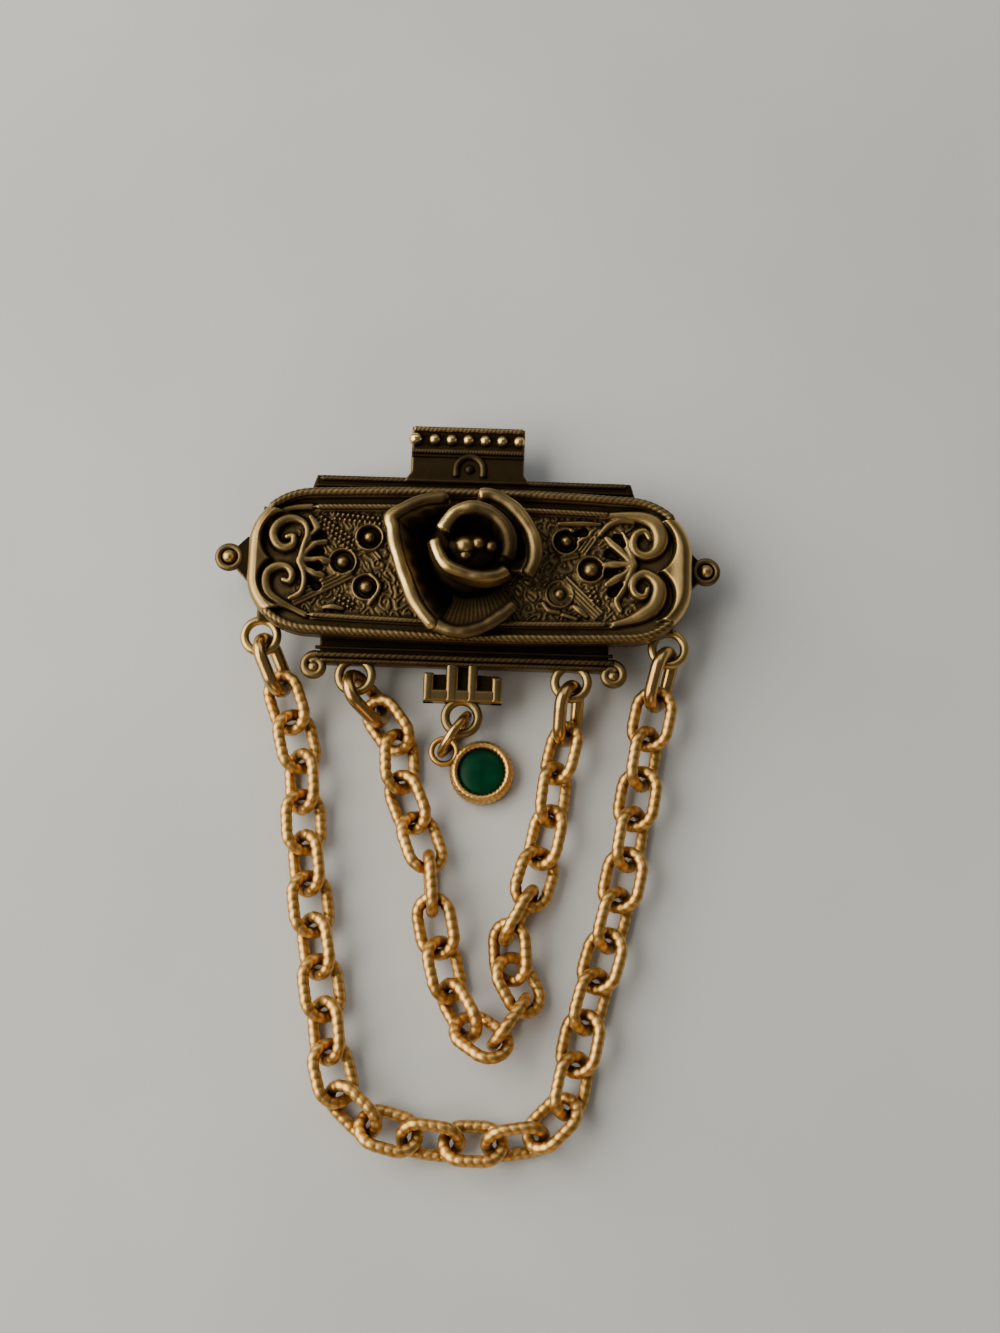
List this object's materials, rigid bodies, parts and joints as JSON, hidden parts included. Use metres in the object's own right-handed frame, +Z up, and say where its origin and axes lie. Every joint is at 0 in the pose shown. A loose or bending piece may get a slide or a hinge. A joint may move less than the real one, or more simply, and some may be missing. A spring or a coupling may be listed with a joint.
{
  "type": "bar brooch with a rose and two chain festoons",
  "caption": "Old brass bar brooch lying flat: scrolled panel with a rose, crest, two festoons of etched cable chain and a small round stone drop.",
  "frame": {"origin": "on the table under the middle of the bounding box", "axes": "+X along the bar to the wearer's left as seen, +Y towards the crest, +Z up from the table through the brooch's face"},
  "size_m": [0.0504, 0.0718, 0.0103],
  "materials": {
    "aged_brass": "cast and antiqued, near black in the recesses, rubbed bright on the ridges",
    "gold_brass": "gilt wire, links cut with fine cross nicks, end links smooth",
    "plain_brass": "plain, satin",
    "green_stone": "polished, nearly opaque"
  },
  "bodies": {
    "root": {"back_plate": "aged_brass", "front_panel": "aged_brass", "rose_petals": "aged_brass", "rose_heart": "aged_brass", "pin_back": "plain_brass", "drop_ring": "gold_brass", "drop_bezel": "gold_brass", "drop_stone": "green_stone", "end_link_1": "gold_brass", "end_link_2": "gold_brass", "end_link_3": "gold_brass", "end_link_4": "gold_brass", "outer_chain": "gold_brass", "inner_chain": "gold_brass"}
  },
  "joints": []
}
